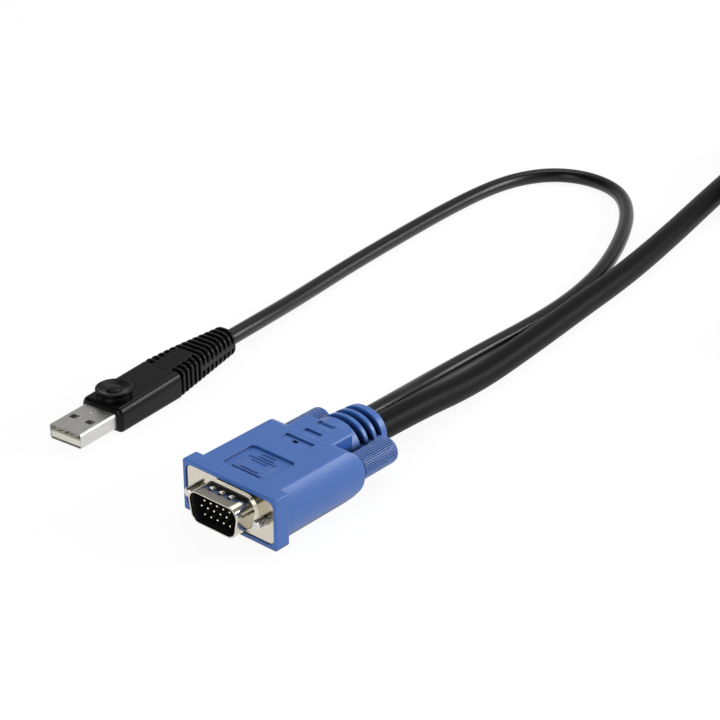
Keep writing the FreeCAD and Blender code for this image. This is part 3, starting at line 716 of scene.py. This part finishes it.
# Zinc plating: paler and duller than the shell's nickel, with blotches of about 1 mm. The thread's grooves get painted
# shade, so the eye gets bright crests and dark grooves.
zinc, tree, shader, _, pale_zinc = mottled_finish("zinc_plated_steel", 1.0, 3.0, "#cdcac2", "#e4e2dc", {
    "Metallic": 1.0, "Roughness": 0.28})
shade_corners(tree, shader, pale_zinc, 0.8, 0.3, 0.62, "#1e1c18")
screws = {}
for plug, place in plug_places.items():
    for side, x in screw_sides.items():
        stem = loft([round_ring(x, axis_z, stem_radius, y, 24) for y in (stem_front, stem_back)])
        screw = piece(plug + "_jackscrew_" + side, [threaded_rod(x), stem], zinc, place)
        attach(screw, plug + "_thumbscrew_" + side)
        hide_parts(plug + "_screw_" + side)
        screws[plug, side] = screw


# Thumb knobs: blue PVC moulded on to the jackscrews' stems, fine ribs lengthwise for the fingers.
# The ribs run out into a smooth rounded end.
knob_front = 36.2
knob_back = 50.5
knob_radius = 3.95
knob_hub = 2.6
knob_end_round = 1.3
knob_plain_end = 1.9
knob_ribs = 40
knob_rib_depth = 0.4
knob_end_step = 0.03
# Front end: distance behind the front, radius taken off and share of the ribs' depth.
knob_nose = ((0.0, 0.3, 0.125), (0.12, 0.1, 0.6), (0.35, 0.0, 1.0))
# These screws float along their axis: in the photograph the left knob reaches a little further back.
knob_float = {"left": 0.7, "right": 0.0}


def knob_ring(x, y, radius, depth):
    """Ring with ribs of that depth: flat tops and narrow V grooves."""
    ring = []
    for i in range(knob_ribs):
        for share, sink in ((0.0, 0.0), (0.3, 0.02), (0.6, 0.0), (0.8, depth)):
            angle = 2 * pi * (i + share) / knob_ribs
            r = radius - sink
            ring.append((x + r * cos(angle), y, axis_z + r * sin(angle)))
    return ring


knobs = {}
for plug, place in plug_places.items():
    for side, x in screw_sides.items():
        rings = [knob_ring(x, knob_front, knob_hub, 0)]
        for behind, less, share in knob_nose:
            rings.append(knob_ring(x, knob_front + behind, knob_radius - less, knob_rib_depth * share))
        back = knob_back + knob_float[side]
        rings.append(knob_ring(x, back - knob_plain_end, knob_radius, knob_rib_depth))
        for k in range(9):
            angle = pi / 2 * k / 8
            fade = max(0.0, 1 - k / 4)
            rings.append(knob_ring(x, back - knob_end_round * (1 - sin(angle)),
                                   knob_radius - knob_end_step - knob_end_round * (1 - cos(angle)),
                                   knob_rib_depth * fade))
        knob = piece(plug + "_thumb_knob_" + side, [loft(rings)], blue_pvc, place, sharp=50)
        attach(knob, plug + "_thumbscrew_" + side)
        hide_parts(plug + "_knob_" + side)
        knobs[plug, side] = knob


# Data plug's tongue and contacts: a cream thermoplastic tongue that fills the lower half of the shell,
# with four flat plated springs laid in grooves on its upper face.
data_turn = radians(5.4)
data_place = (-0.0652, -0.0244, 0)
data_z = 4.0
# Glass-filled and slightly warm, with a fine moulding grain of about 0.4 mm.
cream_plastic = mottled_finish("cream_thermoplastic", 0.4, 2.0, "#ebe8da", "#f5f3e8", {"Roughness": 0.45})[0]
tongue_node = coat("data_tongue", cream_plastic)
# Springs rolled from brass strip and plated: bright and smooth, pale like the tongue that they lie in.
plated_strip = mottled_finish("pale_plated_brass_strip", 0.8, 2.0, "#e6dcc4", "#f3eee0", {
    "Metallic": 1.0, "Roughness": 0.4})[0]
contacts_node = coat("data_contacts", plated_strip)


# Data plug's shell: one strip of thin steel folded round the tongue and joined below, open in front.
# Two windows above and two below take the socket's springs.
# Rolled steel, tin plated: grey, with fine lengthwise rolling lines about 0.15 mm apart, drawn at 0.3 mm to show.
rolled_steel, tree, shader = new_finish("plated_rolled_steel", {"Metallic": 1.0})
where = add_node(tree, "ShaderNodeTexCoord").outputs["Object"]
stretched = add_node(tree, "ShaderNodeMapping", {"Vector": where, "Scale": (1.0, 0.04, 1.0)})
lines = add_node(tree, "ShaderNodeTexNoise", {
    "Vector": stretched.outputs["Vector"], "Scale": per_mm(0.3), "Detail": 3.0})
grey = add_node(tree, "ShaderNodeMix", {
    "Factor": lines.outputs["Fac"], "A": linear("#c6c5c2"), "B": linear("#dedddb")}, data_type="RGBA")
tree.links.new(grey.outputs["Result"], shader.inputs["Base Color"])
rough_grain(tree, shader, lines.outputs["Fac"], 0.25, 0.42, 0.06)
steel_half_width = 6.0
steel_half_height = 2.35
steel_corner = 0.7
steel_wall = 0.3
steel_rounds = (0.12, 0.02)
steel_end = 21.2
steel_middle = data_z - 0.1
steel_top = steel_middle + steel_half_height
seam_half = 0.05
seam_heights = (1.0, 2.1)
window_x = 3.0
window_y = 7.2
window_half_width = 1.25
window_half_length = 1.1
window_corner = 0.25
window_heights = ((5.0, 7.2), (0.8, 2.8))
# Each spring tab slopes down into its window: y and underside height along it.
tab_line = ((6.8, 4.7), (7.5, 5.0), (8.6, 5.6))
tab_half_width = 0.3
tab_thickness = 0.2
# Pressed pit between the windows and the grip: its middle, then radius and height over the shell's face.
pit_middle = (-0.3, 11.4)
pit_profile = ((0.2, -0.15), (0.45, -0.1), (0.7, 0.02), (0.7, 1))


def turned_skin(middle, profile, steps):
    """Skin turned round an upright axis, through radii and heights."""
    angles = [2 * pi * i / steps for i in range(steps)]
    return loft([[(middle[0] + r * cos(angle), middle[1] + r * sin(angle), z) for angle in angles]
                 for r, z in profile])


shell_rings = [rounded_ring(steel_half_width - inset, steel_half_height - inset, steel_corner, y, steel_middle)
               for y, inset in rounded_run(0, steel_end, *steel_rounds, 3)]
shell_rings += [rounded_ring(steel_half_width - steel_wall, steel_half_height - steel_wall, steel_corner - steel_wall,
                             y, steel_middle) for y in (steel_end, 0.1)]
cuts = [box_skin(-seam_half, seam_half, -1, steel_end + 1, *seam_heights)]
tabs = []
for x in (-window_x, window_x):
    for heights in window_heights:
        cuts.append(loft([level_ring(window_half_width, window_half_length, window_corner, (x, window_y), z)
                          for z in heights]))
    left, right = x - tab_half_width, x + tab_half_width
    tabs.append(loft([[(left, y, z), (right, y, z), (right, y, z + tab_thickness), (left, y, z + tab_thickness)]
                      for y, z in tab_line]))
cuts.append(turned_skin(pit_middle, [(r, steel_top + z) for r, z in pit_profile], 24))
steel_skin = cut_skin(loft(shell_rings, tube=True), cuts)
data_shell = piece("data_plug_shell", [steel_skin] + tabs, rolled_steel, data_place, data_turn)
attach(data_shell, "cable")
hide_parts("data_shell")


# Data plug's grip: black PVC moulded round the shell and the thin cable in one shot, strain relief included.
# A raised thumb boss, ribs beside a smooth strip, then rings that a spine joins along each side.
grip_front = 15.0
grip_half_width = 7.7
grip_half_height = 3.9
grip_rise = 0.32
grip_front_round = 1.4
grip_back_round = 0.35
# Rounds of the grip's section from the upper right corner to the left: width and height.
grip_rounds = ((1.8, 3.0), (1.8, 3.0), (1.5, 1.5), (1.5, 1.5))
pocket_play = 0.02
tail_front = 42.0
tail_length = 29.9
# Half width, half height, middle height and corner radius of the strain relief, at both ends.
tail_begins = (7.65, 4.2, 4.25, 1.6)
tail_ends = (4.2, 4.5, 4.7, 3.4)
tail_crown = 0.15
crown_at = 0.385
least_corner = 0.4
core_reach = (41.0, 71.4)
core_sink = 0.8
core_round = 0.2
rib_count = 13
rib_pitch = 2.3
rib_width = 1.25
rib_round = 0.4
strip_reach = (41.0, 53.5)
strip_half_width = 3.4
strip_round = 1.6
strip_rise = 0.02
strip_corner = 0.25
spine_reach = (52.6, 71.6)
spine_half_height = 0.9
spine_sink = 0.04
spine_corner = 0.2
# Thumb boss: its middle, then radius and height from the foot over the rounded rim to the middle of the dish.
boss_middle = (-0.35, 21.4)
boss_wall = [(5.3, 5.0), (5.3, 8.2), (5.2, 8.7), (5.24, 9.3), (5.42, 9.85), (5.5, 10.0)]
boss_rim_radius = 5.1
boss_rim_height = 10.0
boss_rim_round = 0.4
boss_dish = [(4.75, 10.33), (4.4, 10.2), (2.9, 9.78), (2.45, 9.7), (2.3, 9.78), (2.2, 9.98), (2.0, 10.1),
             (1.2, 10.16), (0.05, 10.18)]


def tail_size(y):
    """Half width, half height, middle height and corner radius of the tapered strain relief."""
    share = (y - tail_front) / tail_length
    crown = tail_crown * max(0.0, min(share / crown_at, (1 - share) / (1 - crown_at)))
    width, height, middle, corner = [begin + (end - begin) * share for begin, end in zip(tail_begins, tail_ends)]
    return width, height + crown, middle + crown, corner


def tail_skin(y_from, y_to, sink, edge):
    """Length of the strain relief, sunk below its outer form, with rounded edges."""
    rings = []
    for y, inset in rounded_run(y_from, y_to, edge, edge, 3):
        width, height, middle, corner = tail_size(y)
        less = sink + inset
        rings.append(rounded_ring(width - less, height - less, max(least_corner, corner - less), y, middle, 8))
    return loft(rings)


def grip_ring(y, inset, steps=8):
    """Section of the grip: broad rounds above, small ones below, a little taller towards the cable."""
    half = grip_half_height + grip_rise * (y - grip_front) / (tail_front - grip_front)
    sides = ((1, 1), (-1, 1), (-1, -1), (1, -1))
    ring = []
    for i, ((side, rise), (wide, tall)) in enumerate(zip(sides, grip_rounds)):
        across = wide - 0.3 * inset
        up = tall - 0.3 * inset
        for k in range(steps + 1):
            angle = pi / 2 * (i + k / steps)
            ring.append((side * (grip_half_width - inset - across) + across * cos(angle), y,
                         half + rise * (half - inset - up) + up * sin(angle)))
    return ring


# Matt black with a soft grey sheen, spark-eroded grain of about 0.3 mm drawn at 0.5 mm to show.
black_pvc, tree, shader, erosion, _ = mottled_finish("black_moulded_PVC", 0.5, 3.0, "#070708", "#0d0d0e", {
    "IOR": 1.53, "Specular IOR Level": 0.16})
rough_grain(tree, shader, erosion, 0.24, 0.34, 0.15)
grip_rings = [grip_ring(y, inset)
              for y, inset in rounded_run(grip_front, tail_front, grip_front_round, grip_back_round, 6)]
pocket = loft([rounded_ring(steel_half_width + pocket_play, steel_half_height + pocket_play, steel_corner, y,
                            steel_middle) for y in (grip_front - 1, steel_end)])
grip_skins = [cut_skin(loft(grip_rings), [pocket])]
boss_rim = []
for k in range(1, 5):
    angle = pi / 2 * k / 4
    boss_rim.append((boss_rim_radius + boss_rim_round * cos(angle),
                     boss_rim_height + boss_rim_round * sin(angle)))
grip_skins.append(turned_skin(boss_middle, boss_wall + boss_rim + boss_dish, 64))
grip_skins.append(tail_skin(*core_reach, core_sink, core_round))
for i in range(rib_count):
    rib_back = tail_front + rib_pitch * (i + 1)
    grip_skins.append(tail_skin(rib_back - rib_width, rib_back, 0, rib_round))
strip_rings = []
for y, inset in rounded_run(*strip_reach, 0.02, strip_round, 6):
    _, height, middle, _ = tail_size(y)
    strip_rings.append(rounded_ring(strip_half_width - inset, height + strip_rise, strip_corner, y, middle, 3))
grip_skins.append(loft(strip_rings))
grip_skins.append(loft([rounded_ring(tail_size(y)[0] - spine_sink, spine_half_height, spine_corner, y,
                                     tail_ends[2], 3) for y in spine_reach]))
data_grip = piece("data_plug_grip", grip_skins, black_pvc, data_place, data_turn)
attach(data_grip, "cable")
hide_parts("data_grip")


# Thick cable: black PVC jacket round the video and data wires, 8 mm across and 1.76 m long.
# It runs back from the hood; the length past the picture is wound into a coil and ends in the console plug.
def cable_curve(name, points, diameter, finish):
    """Round cable along a smooth spline whose control points are in millimetres."""
    line = bpy.data.curves.new(name, "CURVE")
    line.dimensions = "3D"
    line.bevel_depth = diameter / 2000
    line.bevel_resolution = 6
    line.resolution_u = 8
    line.use_fill_caps = True
    run = line.splines.new("NURBS")
    run.points.add(len(points) - 1)
    for spot, (x, y, z) in zip(run.points, points):
        spot.co = (x / 1000, y / 1000, z / 1000, 1)
    run.order_u = 3
    run.use_endpoint_u = True
    line.materials.append(finish)
    thing = bpy.data.objects.new(name, line)
    bpy.context.scene.collection.objects.link(thing)
    return thing


def smooth_step(share):
    """Soft start and stop between 0 and 1."""
    share = min(1.0, max(0.0, share))
    return share * share * (3 - 2 * share)


def jacket_finish(name, gloss_level, roughness):
    """Extruded black jacket: low satin gloss, a faint fine grain of about 0.7 mm and soft flats some 6 mm long."""
    finish, tree, shader = mottled_finish(name, 6.0, 3.0, "#080808", "#0e0e0d", {
        "IOR": 1.53, "Specular IOR Level": gloss_level})[:3]
    where = add_node(tree, "ShaderNodeTexCoord").outputs["Object"]
    skin = add_node(tree, "ShaderNodeTexNoise", {"Vector": where, "Scale": per_mm(0.7), "Detail": 3.0})
    rough_grain(tree, shader, skin.outputs["Fac"], roughness - 0.05, roughness + 0.05, 0.08)
    return finish


# The thick jacket is the duller of the two: the eye gets a dark tube with one broad grey line along it.
thick_pvc = jacket_finish("black_cable_PVC_thick", 0.1, 0.46)
coil_x, coil_y, coil_low, coil_high = 18.5, 295.0, 4.7, 12.9
coil_radius = 48.2
coil_pitch = 8.2
coil_lead = 30.0
coil_approach = 24.0
coil_turn = 1990.0
turn_step = 22.5
# Turned angles at which the cable steps one turn inward, climbs to the upper layer and steps outward again.
steps_inward = (250, 610)
climb_at = 960
steps_outward = (1330, 1690)
step_turn = 60
climb_turn = 90
# The spline runs inside its control points, at this share of their radius.
spline_share = 0.981
entry = radians(10)
along = (-sin(entry), cos(entry))
lead_x = coil_x - coil_radius * cos(entry) - coil_lead * along[0]
lead_y = coil_y - coil_radius * sin(entry) - coil_lead * along[1]
main_points = [(2.75, 12.8, 7.8), (2.75, 44, 7.8), (1.4, 76, 4), (-1.1, 106, 4), (-4.6, 138, 4), (-7.9, 170, 4),
               (-14.0, 205, 4), (lead_x - coil_approach * along[0], lead_y - coil_approach * along[1], 4.2),
               (lead_x, lead_y, coil_low)]
for i in range(int(coil_turn / turn_step)):
    wound = (i + 0.5) * turn_step
    inward = sum(smooth_step((wound - at) / step_turn) for at in steps_inward)
    outward = sum(smooth_step((wound - at) / step_turn) for at in steps_outward)
    radius = (coil_radius - coil_pitch * (inward - outward)) / spline_share
    rise = smooth_step((wound - climb_at) / climb_turn)
    angle = pi + entry - radians(wound)
    main_points.append((coil_x + radius * cos(angle), coil_y + radius * sin(angle),
                        coil_low + (coil_high - coil_low) * rise))
main_points += [(66.7, 265, 12.9), (66.7, 249, 12.9), (64, 229, 7.8), (64, 201, 7.8)]
main_cable = cable_curve("thick_cable", main_points, 8.0, thick_pvc)
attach(main_cable, "cable")
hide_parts("main_cable", "main_cable_coil", "main_cable_tail")


# Coil strap: a woven nylon band, hook and loop, once round the put-away turns.
# Black weave: its threads, about 0.6 mm apart, are drawn as ribs 3.8 mm apart to show.
strap_nylon, tree, shader = new_finish("black_woven_nylon", {"Roughness": 0.8, "Sheen Weight": 0.3})
where = add_node(tree, "ShaderNodeTexCoord").outputs["Object"]
# A wave's band is pi / 10 wide at scale 1.
threads = add_node(tree, "ShaderNodeTexWave", {
    "Vector": where, "Scale": per_mm(3.77) * pi / 10, "Distortion": 1.0}, wave_type="BANDS", bands_direction="X")
woven = add_node(tree, "ShaderNodeMix", {
    "Factor": threads.outputs["Fac"], "A": linear("#151516"), "B": linear("#2b2b2d")}, data_type="RGBA")
tree.links.new(woven.outputs["Result"], shader.inputs["Base Color"])
ridged = add_node(tree, "ShaderNodeBump", {"Height": threads.outputs["Fac"], "Strength": 0.3, "Distance": 0.0002})
tree.links.new(ridged.outputs["Normal"], shader.inputs["Normal"])
strap_node = coat("coil_strap", strap_nylon)
console_pieces = [pieces["console"] for pieces in (hoods, front_shells, insulators, pin_sets)]
console_pieces += [pieces["console", side] for pieces in (screws, knobs) for side in screw_sides]
console_pieces.append(strap_node)


# Thin cable: black PVC jacket round the data wires, 5.1 mm across and 0.44 m long, seen from end to end.
# It leaves the hood beside the thick one and loops round to the data plug.
data_points = [(-4.2, 12.8, 7.8), (-4.2, 41, 7.8), (-10.0, 68, 3.2), (-10.8, 95, 2.55), (-10.2, 124, 2.55),
               (-11.8, 146, 2.55), (-17.0, 170, 2.55), (-27.3, 195.8, 2.55), (-38.9, 216.1, 2.55),
               (-51.8, 228.6, 2.55), (-66.8, 231.4, 2.55), (-78.8, 226.0, 2.55), (-85.8, 214.2, 2.55),
               (-88.4, 198, 2.55), (-87.8, 174, 2.55), (-85.5, 146, 2.55), (-82.5, 116, 2.55), (-78.6, 88, 2.65)]
for y in (87.9, 63.9):
    data_points.append((data_place[0] * 1000 - y * sin(data_turn), data_place[1] * 1000 + y * cos(data_turn),
                        tail_ends[2]))
# The thin jacket is smoother and shows a brighter line.
thin_pvc = jacket_finish("black_cable_PVC_thin", 0.35, 0.31)
data_cable = cable_curve("thin_cable", data_points, 5.1, thin_pvc)
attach(data_cable, "cable")
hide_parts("data_cable")
